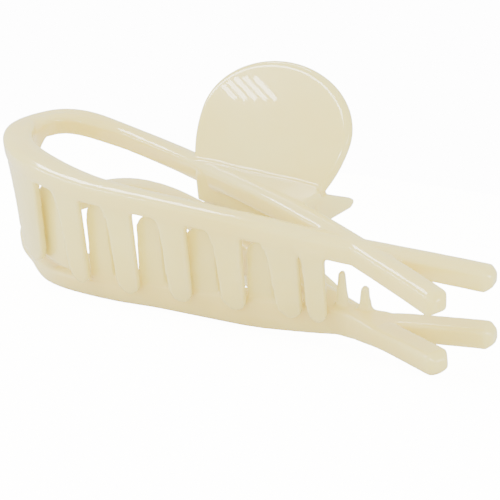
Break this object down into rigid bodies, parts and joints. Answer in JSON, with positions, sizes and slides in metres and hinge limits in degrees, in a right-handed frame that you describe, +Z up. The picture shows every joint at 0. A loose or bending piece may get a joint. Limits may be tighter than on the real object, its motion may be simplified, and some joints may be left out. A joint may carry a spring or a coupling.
{
  "type": "large fishtail hair claw clip",
  "caption": "Fish-shaped hair claw clip: two open fishtail jaws with interlocking teeth on a sprung hinge, opened by round finger paddles.",
  "frame": {"origin": "on the surface the clip lies on, under the middle of its bounding box", "axes": "+X from the round nose to the crossed tail, +Y from the toothed mouth to the hinge and paddles, +Z up off the surface"},
  "size_m": [0.1374, 0.0654, 0.0601],
  "materials": {
    "cream_plastic": "glossy milky cream, slightly translucent",
    "spring_steel": "drawn wire"
  },
  "bodies": {
    "lower": {"lower_jaw": "cream_plastic", "hinge_pin": "spring_steel", "spring": "spring_steel"},
    "upper": {"upper_jaw": "cream_plastic"}
  },
  "joints": [
    {"name": "jaw_hinge", "type": "hinge", "parent": "lower", "child": "upper", "pos_m": [-0.00094, 0.00529, 0.026], "axis": [-0.9936, 0, 0.1129], "range_deg": [0, 38], "stiffness_Nm_per_rad": 0.12, "springref_deg": -68.75, "deforming": ["spring"]}
  ]
}
